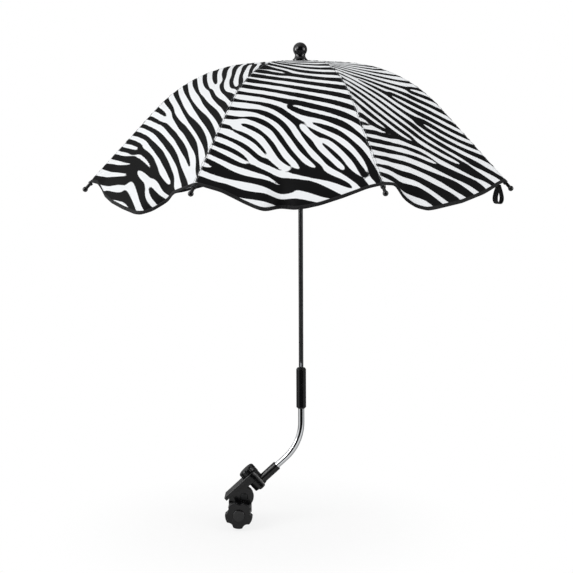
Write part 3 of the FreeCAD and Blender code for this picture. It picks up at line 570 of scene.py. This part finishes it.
def solid_finish(name, colour, grain, depth, roughness, spread=0.06, edge=0.0002, metallic=0.0, coat=0.0,
                 tint=1.5, stretch=(1, 1, 1)):
    """A hard finish: grain, in metres, in its bump, handling in its shine and shade, and eased edges."""
    material, add = start_material(name)
    drawn = add("Mapping", {"Vector": add("TexCoord")["Object"], "Scale": stretch})[0]
    fine = add("TexNoise", {"Vector": drawn, "Scale": 1 / grain, "Detail": 3.0})["Fac"]
    # Handling leaves patches of about 15 mm
    patch = 0.015
    handled = add("TexNoise", {"Vector": drawn, "Scale": 1 / patch, "Detail": 4.0})["Fac"]
    shade = add("Mix", {0: handled, 6: colour, 7: times(colour, tint)}, data_type="RGBA")[2]
    rough = add("MapRange", {
        "Value": handled, "From Min": 0.3, "From Max": 0.7, "To Min": roughness - spread,
        "To Max": roughness + spread})[0]
    eased = add("Bevel", {"Radius": edge}, samples=4)[0]
    bump = add("Bump", {"Height": fine, "Strength": 0.5, "Distance": depth, "Normal": eased})[0]
    skin = add("BsdfPrincipled", {
        "Base Color": shade, "Roughness": rough, "Metallic": metallic, "Coat Weight": coat,
        "Coat Roughness": 0.08, "Specular IOR Level": 0.32, "Normal": bump})[0]
    add("OutputMaterial", {"Surface": skin})
    return material


def fold_plane(number, side):
    """Axis and anchor of a half panel's flattening as its rib folds. Its loose edge ends outside the rib."""
    lean, lift, step = math.radians(30), 0.037, 0.02
    azimuth = rib_azimuth(number)
    radius, height, _ = cover_line(bpy.context.scene.parasol_cover, step)
    fall = math.atan2(height[0] - height[-1], radius[-1] - radius[0])
    raised = outward(azimuth) * math.sin(fall) + UP * math.cos(fall)
    axis = side * sideways(azimuth) * math.cos(lean) - raised * math.sin(lean)
    return tuple(axis), tuple(spot_at(azimuth, radius[-1], height[-1]) + raised * lift)


# Operators

class PARASOL_OT_cover(bpy.types.Operator):
    """Sew the eight printed panels, each half riding on its rib"""

    bl_idname = "parasol.cover"
    bl_label = "Printed cover and hem binding"

    def execute(self, context):
        cover, prints = context.scene.parasol_cover, context.scene.parasol_print
        outer = printed_taffeta("printed_polyester_taffeta", prints.ground, prints.ink, roughness=0.72)
        inner = printed_taffeta("taffeta_reverse", prints.ground_inside, prints.ink_inside, roughness=0.8)
        tape = grosgrain("polyester_binding_tape", context.scene.parasol_finish.tape)
        for panel in range(RIBS):
            points, flat, normals, half, along = panel_grid(cover, panel)
            whole = (points, flat, normals, read_field(stripe_field(prints, panel), flat))
            halves = ((panel, 1, slice(0, half)), ((panel + 1) % RIBS, -1, slice(half - 1, None)))
            for number, side, columns in halves:
                part = [layer[:, columns] for layer in whole]
                ending = "%d_%s" % (number + 1, "right" if side > 0 else "left")
                cloth = self.sew_half("cover_" + ending, cover, part, (outer, inner), side)
                binding = self.bind_hem("binding_" + ending, cover, part, tape)
                strip = self.cut_lap(cover, whole, along, side)
                lap = self.sew_half("lap_" + ending, cover, strip, (outer, inner), 0)
                axis, anchor = fold_plane(number, side)
                for piece in (cloth, binding, lap):
                    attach(piece, "rib_%d" % (number + 1))
                    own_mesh(piece)
                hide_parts("canopy_gore_%d" % (number + 1))
        return {"FINISHED"}

    def flat_area(self, flat):
        """Area of a half panel's flat cut."""
        x, y = rim(flat).T
        return abs(float(np.dot(x, np.roll(y, -1)) - np.dot(y, np.roll(x, -1)))) / 2

    def cut_lap(self, cover, whole, along, side):
        """A lap under the panel's middle near the crown, which closes it where the folded halves part."""
        # Its reach shrinks from the crown over a run and stays clear of the rib, and it passes the middle
        crown_reach, run_out, least_reach, least_panel = 0.030, 0.20, 0.001, 0.008
        clear, past, columns, gap = 0.003, 0.003, 6, 0.0004
        rows = []
        for row, run in enumerate(along):
            place = whole[1][row, :, 0]
            reach = min(crown_reach * (1 - run / run_out), place[-1] - clear)
            if place[-1] < least_panel or reach < least_reach:
                continue
            at = np.sort(side * np.linspace(-past, reach, columns))
            rows.append([np.apply_along_axis(lambda line: np.interp(at, place, line), 0, layer[row])
                         for layer in whole])
        points, flat, normals, field = (np.array(layer) for layer in zip(*rows))
        # Right and left laps lie in two layers, because they meet at the middle
        layer = 1 if side > 0 else 2
        return points - normals * layer * (cover.cloth + gap), flat, normals, field

    def sew_half(self, name, cover, part, materials, side):
        """Two faces of cloth with closed edges. Side is 0 for cloth that has no rib seam."""
        points, flat, normals, field = part
        rows, columns = points.shape[:2]
        count = rows * columns
        inside = points - normals * cover.cloth
        faces = grid_faces(rows, columns) + grid_faces(rows, columns, count, flip=True)
        edge = rim(np.arange(count).reshape(rows, columns))
        for first, second in zip(edge, np.roll(edge, -1)):
            faces.append((first, second, second + count, first + count))
        both = np.stack((points, inside)).reshape(-1, 3)
        piece = mesh_piece(name, both, faces, materials)
        mesh = piece.data
        inner_faces = (rows - 1) * (columns - 1)
        for number in range(inner_faces, 2 * inner_faces):
            mesh.polygons[number].material_index = 1
        set_uv(mesh, "flat", np.stack((flat, flat)).reshape(-1, 2))
        rib_line = points[:, 0 if side > 0 else -1]
        # Cloth without a seam is kept a metre from any stitches
        from_seam = np.linalg.norm(points - rib_line[:, None], axis=2) + (0 if side else 1.0)
        down = np.repeat(run_along(rib_line)[:, None], columns, axis=1)
        seam = np.stack((from_seam, down), axis=2)
        set_uv(mesh, "seam", np.stack((seam, seam)).reshape(-1, 2))
        set_value(mesh, "print", np.stack((field, field)))
        both = np.stack((normals, -normals)).reshape(-1, 3)
        mesh.normals_split_custom_set_from_vertices([tuple(n) for n in both])
        return piece

    def bind_hem(self, name, cover, part, tape):
        """Tape folded over the hem, closed round its edges."""
        points, _, normals, _ = part
        # How far it stands off the cloth, from the hem inwards, and how far its fold stands below the hem
        lift, below = np.array((0.0004, 0.00055, 0.00055, 0.0005, 0.00012))[:, None], 0.0006
        at = np.linspace(0.0, cover.tape_width, len(lift))
        rings = []
        for c in range(points.shape[1]):
            line, side = points[::-1, c], normals[::-1, c]
            run = run_along(line)
            spot, face = (np.stack([np.interp(at, run, values[:, k]) for k in range(3)], axis=1)
                          for values in (line, side))
            fall = (line[0] - line[1]) / max(np.linalg.norm(line[0] - line[1]), 1e-9)
            outside = spot + face * lift
            inside = spot - face * (lift + cover.cloth)
            edge = spot[:1] + fall * below - face[:1] * cover.cloth / 2
            rings.append(np.concatenate((outside[::-1], edge, inside)))
        piece = closed_tube(name, rings, tape)
        length, around = run_along(points[-1]), len(rings[0])
        width = np.linspace(0, 2 * cover.tape_width, around)
        set_uv(piece.data, "flat", np.stack((np.repeat(length, around), np.tile(width, len(rings))), axis=1))
        return piece


class PARASOL_OT_ribbon(bpy.types.Operator):
    """Loop the closing ribbon below the hem beside one corner"""

    bl_idname = "parasol.ribbon"
    bl_label = "Closing ribbon"

    def execute(self, context):
        cover = context.scene.parasol_cover
        low, high = (np.array(corner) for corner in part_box("closure_strap"))
        strap_x, strap_y = (low[0] + high[0]) / 2 - AXIS_X, (low[1] + high[1]) / 2 - AXIS_Y
        reach = math.hypot(strap_x, strap_y)
        # The ribbon hangs nearer the corner than the plain strap, where the hem is higher
        nearer, higher = 0.008, 0.005
        azimuth = math.atan2(strap_x, -strap_y) + nearer / reach
        top = high[2] + higher
        middle = spot_at(azimuth, reach, 0.0)
        # It hangs turned, so that its flat side shows beside the hem
        turned = azimuth + math.radians(62)
        out, aside = outward(turned), sideways(turned)
        # Both ends are sewn together at the top and the loop opens below, a drop shape
        half_loop, twist, thickness = 0.0092, 0.12, 0.0007
        turn = np.linspace(0, 2 * math.pi, 57)
        width = half_loop * np.sin(turn) * np.sin(turn / 2) ** 1.1
        fall = (high[2] - low[2]) * (0.5 - 0.5 * np.cos(turn)) ** 0.85
        columns = np.array((-1, -0.6, 0, 0.6, 1))
        rings = []
        for w, f, t in zip(width, fall, twist * np.sin(turn)):
            spot = middle + out * w + UP * (top - f)
            across = aside * math.cos(t) + out * math.sin(t)
            rings.append([spot + across * cover.ribbon_width / 2 * k for k in columns])
        rings, tape = np.array(rings), bpy.data.materials["polyester_binding_tape"]
        faces = grid_faces(len(turn), len(columns))
        piece = mesh_piece("closing_ribbon", rings.reshape(-1, 3), faces, (tape,))
        length = run_along(rings[:, 2])
        spread = np.tile(columns * cover.ribbon_width / 2, len(turn))
        set_uv(piece.data, "flat", np.stack((np.repeat(length, len(columns)), spread), axis=1))
        thicken(context, piece, thickness, 0.0)
        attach(piece, "rib_4")
        # Axis of a crease from its sewn end, which would keep it clear of the next tip; it is worked out here
        # and not used
        axis, _ = fold_plane(3, -1)
        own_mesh(piece)
        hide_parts("closure_strap")
        return {"FINISHED"}


class PARASOL_OT_cap(bpy.types.Operator):
    """Put the pinked cap over the middle of the cover"""

    bl_idname = "parasol.cap"
    bl_label = "Pinked cap"

    def execute(self, context):
        low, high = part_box("canopy_cap")
        radius = (high[0] - low[0]) / 2
        points_round, rings, teeth = 96, 9, 24
        # Hole round the pole, depth of the pinking, and the share of the disc that it leaves
        hole, pinking, left = 0.0041, 0.0012, 0.95
        # Gap below the solid's top, and how far the edge droops and ripples
        gap, droop, ripple, thickness = 0.0002, 0.0011, 0.00035, 0.0006
        turn = np.arange(points_round) * 2 * math.pi / points_round
        pinked = np.abs((turn * teeth / (2 * math.pi)) % 1 - 0.5) * 2
        spots, flat = [], []
        for ring in range(rings):
            share = ring / (rings - 1)
            r = hole + (radius - hole - pinking * (1 - pinked) * share) * share
            z = high[2] - gap - droop * share ** 2 + ripple * share ** 2 * np.sin(9 * turn + 1.0)
            spots.append(np.stack((AXIS_X + r * np.cos(turn), AXIS_Y + r * np.sin(turn), z), axis=1))
            flat.append(np.stack((r * np.cos(turn), r * np.sin(turn)), axis=1))
        cloth = bpy.data.materials["printed_polyester_taffeta"]
        faces = grid_faces(rings, points_round, wrap=True)
        piece = mesh_piece("pinked_cap", np.concatenate(spots), faces, (cloth,))
        flat = np.concatenate(flat)
        set_uv(piece.data, "flat", flat)
        # Away from any stitches, and without ink
        set_uv(piece.data, "seam", np.full_like(flat, 0.02))
        set_value(piece.data, "print", np.full(len(flat), -1.0))
        thicken(context, piece, thickness, -1.0)
        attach(piece, "pole")
        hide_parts("canopy_cap")
        return {"FINISHED"}


class PARASOL_OT_ties(bpy.types.Operator):
    """Wind the threads that tie the cover to the rib tips and to the ribs"""

    bl_idname = "parasol.ties"
    bl_label = "Thread ties"

    def execute(self, context):
        cover = context.scene.parasol_cover
        thread = bonded_thread("bonded_nylon_thread")
        # Depth of a rib below the cover, the tip's neck beyond the corner, and the radius of the rib ties
        rib_depth, neck_beyond, tie_radius = 0.0033, 0.0022, 0.300
        # Half the width and height of what each tie goes round, and its turns
        tip_tie, rib_tie = (0.0031, 0.0031, 4), (0.0019, 0.0024, 3)
        radius, height, _ = cover_line(cover, ROW_STEP)
        tied = int(np.argmin(np.abs(radius - tie_radius)))
        slope = cover.skirt_slope
        for number in range(RIBS):
            azimuth = rib_azimuth(number)
            down = outward(azimuth) * math.cos(slope) - UP * math.sin(slope)
            lifted = outward(azimuth) * math.sin(slope) + UP * math.cos(slope)
            ways = (down, sideways(azimuth), lifted)
            neck = spot_at(azimuth, radius[-1], height[-1]) - lifted * rib_depth + down * neck_beyond
            spot = spot_at(azimuth, radius[tied], height[tied]) - lifted * rib_depth
            for name, centre, tie in (("tip_tie_%d", neck, tip_tie), ("rib_tie_%d", spot, rib_tie)):
                rings = self.wind(centre, ways, tie, cover.tie_wire)
                piece = closed_tube(name % (number + 1), rings, thread)
                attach(piece, "rib_%d" % (number + 1))
        return {"FINISHED"}

    def wind(self, centre, ways, tie, wire):
        """Rings of a few turns of thread round a rib, lying side by side."""
        line, aside, lifted = ways
        half_width, half_height, turns = tie
        steps, sides = 20 * turns + 1, 8
        angle = np.linspace(0, 2 * math.pi * turns, steps)
        shift = (np.linspace(0, 1, steps) - 0.5) * wire * turns
        rings = []
        for a, s in zip(angle, shift):
            radial = (aside * math.cos(a) * (half_width + wire / 2)
                      + lifted * math.sin(a) * (half_height + wire / 2))
            spot = centre + line * s + radial
            away = radial / np.linalg.norm(radial)
            rings.append([spot + (away * math.cos(b) + line * math.sin(b)) * wire / 2
                          for b in np.arange(sides) * 2 * math.pi / sides])
        return rings


class PARASOL_OT_finishes(bpy.types.Operator):
    """Give every solid of the frame its finish"""

    bl_idname = "parasol.finishes"
    bl_label = "Finishes of the solids"

    def execute(self, context):
        colours = context.scene.parasol_finish
        finishes = {
            # Glass-filled nylon from a spark-eroded mould: satin black with a fine 0.5 mm grain
            "black_nylon": solid_finish("glass_filled_nylon", colours.nylon, grain=0.0005, depth=0.00003,
                                        roughness=0.22, spread=0.05, edge=0.0007),
            # ABS from a polished mould: deep black, sharp reflections
            "gloss_black": solid_finish("polished_abs", colours.gloss, grain=0.004, depth=0.00001,
                                        roughness=0.10, spread=0.04, edge=0.0003, coat=0.3),
            # Nitrile rubber, moulded: flat dark grey with a 0.8 mm pebble
            "jaw_rubber": solid_finish("nitrile_rubber", linear("1E1E1F"), grain=0.0008, depth=0.00008,
                                       roughness=0.82, edge=0.0004),
            # Zinc-plated steel: cool grey with soft patches
            "zinc_steel": solid_finish("zinc_plated_steel", linear("B4B8BC"), grain=0.0012, depth=0.00002,
                                       roughness=0.34, spread=0.08, metallic=1.0, tint=0.82),
            # Steel with a black oxide: near black, oily sheen
            "black_steel": solid_finish("black_oxide_steel", linear("141516"), grain=0.0010, depth=0.00002,
                                        roughness=0.36),
            # Turned brass: yellow with a fine 0.6 mm grain
            "bush_brass": solid_finish("turned_brass", linear("C8A45A"), grain=0.0006, depth=0.00003,
                                       roughness=0.30, metallic=1.0, tint=0.85),
            # Chromed steel tube, buffed along its length: a near mirror
            "chrome_tube": solid_finish("chromed_steel", linear("D2D4D6"), grain=0.0010, depth=0.000004,
                                        roughness=0.055, spread=0.02, metallic=1.0, tint=0.96,
                                        stretch=(1, 1, 0.15)),
            # Stoved enamel on steel: smooth black with a faint 2 mm orange peel
            "black_paint": solid_finish("stoved_enamel", colours.enamel, grain=0.002, depth=0.00002,
                                        roughness=0.30, edge=0.0003, coat=0.15),
        }
        for part in frame["record"]["subparts"]:
            solid = frame["nodes"][part["node"]]
            if solid.hide_render:
                continue
            if not solid.material_slots:
                solid.data.materials.append(None)
            for slot in solid.material_slots:
                slot.link = "OBJECT"
                slot.material = finishes[part["material_slot"]]
        return {"FINISHED"}


class PARASOL_OT_stage(bpy.types.Operator):
    """Lay the paper floor and set the lights and the camera"""

    bl_idname = "parasol.stage"
    bl_label = "Stage, light and camera"

    def execute(self, context):
        scene, stage = context.scene, context.scene.parasol_stage
        scene.view_settings.view_transform = "Standard"
        self.lay_floor(stage)
        self.hang_sky(scene, stage)
        self.hang_lamp("key_softbox", (-1.9, -1.5, 1.9), 1.5, stage.key_power)
        self.hang_lamp("fill_softbox", (2.1, -1.2, 1.1), 1.4, stage.fill_power)
        # Two tall strips that only shine in polished parts, the right one weaker
        weaker = 0.45 * stage.strip_power
        self.hang_lamp("left_strip", (-1.9, -0.45, 0.95), 0.45, stage.strip_power, strip=True)
        self.hang_lamp("right_strip", (2.0, -0.75, 0.95), 0.25, weaker, strip=True)
        self.set_camera(scene, stage)
        return {"FINISHED"}

    def lay_floor(self, stage):
        """A paper sheet that fades to plain white away from the clamp and ends just ahead of the picture."""
        low = cad_box[0][2] - stage.floor_drop
        half, front, back = 4.0, -0.47, 6.0
        ends = ((-half, front), (half, front), (half, back), (-half, back))
        points = [(AXIS_X + x, AXIS_Y + y, low) for x, y in ends]
        material, add = start_material("matt_paper")
        place = add("TexCoord")["Object"]
        # Paper fibre of 1 mm
        fibre_size = 0.001
        fibre = add("TexNoise", {"Vector": place, "Scale": 1 / fibre_size, "Detail": 2.0})["Fac"]
        shade = add("Mix", {0: fibre, 6: stage.floor, 7: times(stage.floor, 0.97)}, data_type="RGBA")[2]
        paper = add("BsdfDiffuse", {"Color": shade})[0]
        rays = add("LightPath")
        # In reflections the floor dims behind the parasol, which draws the edge of the chromed tube
        start, end, dimmed = AXIS_Y - 0.22, AXIS_Y + 0.10, -0.74
        dim = add("MapRange", {
            "Value": add("SeparateXYZ", {0: place})["Y"], "From Min": start, "From Max": end,
            "To Min": 0.0, "To Max": dimmed})[0]
        glow = add("Math", {0: rays["Is Glossy Ray"], 1: dim, 2: 1.0}, operation="MULTIPLY_ADD")[0]
        white = add("Emission", {"Color": (1, 1, 1, 1), "Strength": glow})[0]
        seen = rays["Is Camera Ray"]
        for kind in ("Is Glossy Ray", "Is Transmission Ray"):
            seen = add("Math", {0: seen, 1: rays[kind]}, operation="MAXIMUM")[0]
        # The clamp's shadow shows on the paper near it and is gone further out
        shadow, near, far, near_white = (0.04, AXIS_Y, low), 0.12, 0.40, 0.80
        away = add("VectorMath", {0: place, 1: shadow}, operation="DISTANCE")["Value"]
        fade = add("MapRange", {
            "Value": away, "From Min": near, "From Max": far, "To Min": near_white, "To Max": 1.0},
            interpolation_type="SMOOTHSTEP")[0]
        share = add("Math", {0: seen, 1: fade}, operation="MULTIPLY")[0]
        mixed = add("MixShader", {0: share, 1: paper, 2: white})[0]
        # From below the paper is clear, so that the canopy can be looked at from under it
        under = add("NewGeometry")["Backfacing"]
        clear = add("BsdfTransparent")[0]
        mixed = add("MixShader", {0: under, 1: mixed, 2: clear})[0]
        add("OutputMaterial", {"Surface": mixed})
        mesh_piece("paper_floor", points, [(0, 1, 2, 3)], (material,), smooth=False)

    def hang_sky(self, scene, stage):
        """White to the eye, an even light on the parasol, and a studio with dark sides in reflections."""
        scene.world = bpy.data.worlds.new("studio")
        scene.world.use_nodes = True
        scene.world.node_tree.nodes.clear()
        add = functools.partial(add_node, scene.world.node_tree)
        rays = add("LightPath")
        way = add("SeparateXYZ", {0: add("TexCoord")["Generated"]})
        ahead = add("Math", {0: way["Y"], 1: -1.0}, operation="MULTIPLY")[0]
        # Reflections darken towards the camera, far behind the parasol, and to the right
        ranges = ((ahead, "SMOOTHSTEP", 0.50, 0.78, 1.0, 0.01), (ahead, "LINEAR", -0.95, -0.35, 0.14, 1.0),
                  (way["X"], "LINEAR", -0.3, 0.3, 1.0, 0.36))
        front, behind, beside = (
            add("MapRange", {"Value": value, "From Min": start, "From Max": end, "To Min": first,
                                   "To Max": last}, interpolation_type=change)[0]
            for value, change, start, end, first, last in ranges)
        dark = front
        for share in (behind, beside):
            dark = add("Math", {0: dark, 1: share}, operation="MULTIPLY")[0]
        even, white, mirrored = (add("Background", {"Color": (1, 1, 1, 1), "Strength": strength})[0]
                                 for strength in (stage.sky, 1.0, dark))
        seen = add("Math", {0: rays["Is Camera Ray"], 1: rays["Is Transmission Ray"]}, operation="MAXIMUM")[0]
        lit = add("MixShader", {0: rays["Is Glossy Ray"], 1: even, 2: mirrored})[0]
        mixed = add("MixShader", {0: seen, 1: lit, 2: white})[0]
        add("OutputWorld", {"Surface": mixed})

    def hang_lamp(self, name, place, size, power, strip=False):
        """One softbox, square, or an upright strip that lights no matt surface."""
        aim_height, strip_height = 0.55, 1.1
        lamp = bpy.data.lights.new(name, "AREA")
        lamp.size = size
        lamp.energy = power
        hung = bpy.data.objects.new(name, lamp)
        if strip:
            lamp.shape = "RECTANGLE"
            lamp.size_y = strip_height
            hung.visible_diffuse = False
        hung.location = place
        aim = Vector((AXIS_X, AXIS_Y, aim_height)) - Vector(place)
        hung.rotation_euler = aim.to_track_quat("-Z", "Y").to_euler()
        bpy.context.collection.objects.link(hung)

    def set_camera(self, scene, stage):
        """The photograph's view, worked out for a square frame."""
        place = (0.11374, -2.24133, 0.63514)
        pitch, yaw, roll = math.radians(6.217), math.radians(-0.776), math.radians(-0.253)
        ahead = Vector((math.sin(yaw) * math.cos(pitch), math.cos(yaw) * math.cos(pitch), -math.sin(pitch)))
        right = Vector((math.cos(yaw), -math.sin(yaw), 0.0))
        up = right.cross(ahead)
        level = right * math.cos(roll) + up * math.sin(roll)
        tall = up * math.cos(roll) - right * math.sin(roll)
        turn = Matrix((level, tall, -ahead)).transposed().to_4x4()
        eye = bpy.data.cameras.new("viewer")
        eye.lens = stage.focal
        eye.sensor_width = 36.0
        eye.sensor_fit = "HORIZONTAL"
        eye.clip_end = 100.0
        viewer = bpy.data.objects.new("viewer", eye)
        viewer.matrix_world = Matrix.Translation(place) @ turn
        bpy.context.collection.objects.link(viewer)
        scene.camera = viewer


STEPS = (PARASOL_OT_cover, PARASOL_OT_ribbon, PARASOL_OT_cap, PARASOL_OT_ties, PARASOL_OT_finishes,
         PARASOL_OT_stage)
SETTINGS = {"parasol_cover": ParasolCoverSettings, "parasol_print": ParasolPrintSettings,
            "parasol_finish": ParasolFinishSettings, "parasol_stage": ParasolStageSettings}


class PARASOL_PT_dressing(bpy.types.Panel):
    """Settings and steps of the dressing"""

    bl_idname = "PARASOL_PT_dressing"
    bl_label = "Pram parasol"
    bl_space_type = "VIEW_3D"
    bl_region_type = "UI"
    bl_category = "Parasol"

    def draw(self, context):
        for name, group in SETTINGS.items():
            box = self.layout.box()
            box.label(text=group.__doc__)
            for setting in group.__annotations__:
                box.prop(getattr(context.scene, name), setting)
        for step in STEPS:
            self.layout.operator(step.bl_idname)


def register():
    for name, group in SETTINGS.items():
        bpy.utils.register_class(group)
        setattr(bpy.types.Scene, name, bpy.props.PointerProperty(type=group))
    for step in STEPS:
        bpy.utils.register_class(step)
    bpy.utils.register_class(PARASOL_PT_dressing)


def unregister():
    bpy.utils.unregister_class(PARASOL_PT_dressing)
    for step in reversed(STEPS):
        bpy.utils.unregister_class(step)
    for name, group in reversed(SETTINGS.items()):
        delattr(bpy.types.Scene, name)
        bpy.utils.unregister_class(group)


def main():
    register()
    bpy.ops.parasol.cover()
    bpy.ops.parasol.ribbon()
    bpy.ops.parasol.cap()
    bpy.ops.parasol.ties()
    bpy.ops.parasol.finishes()
    bpy.ops.parasol.stage()


if __name__ == "__main__":
    main()
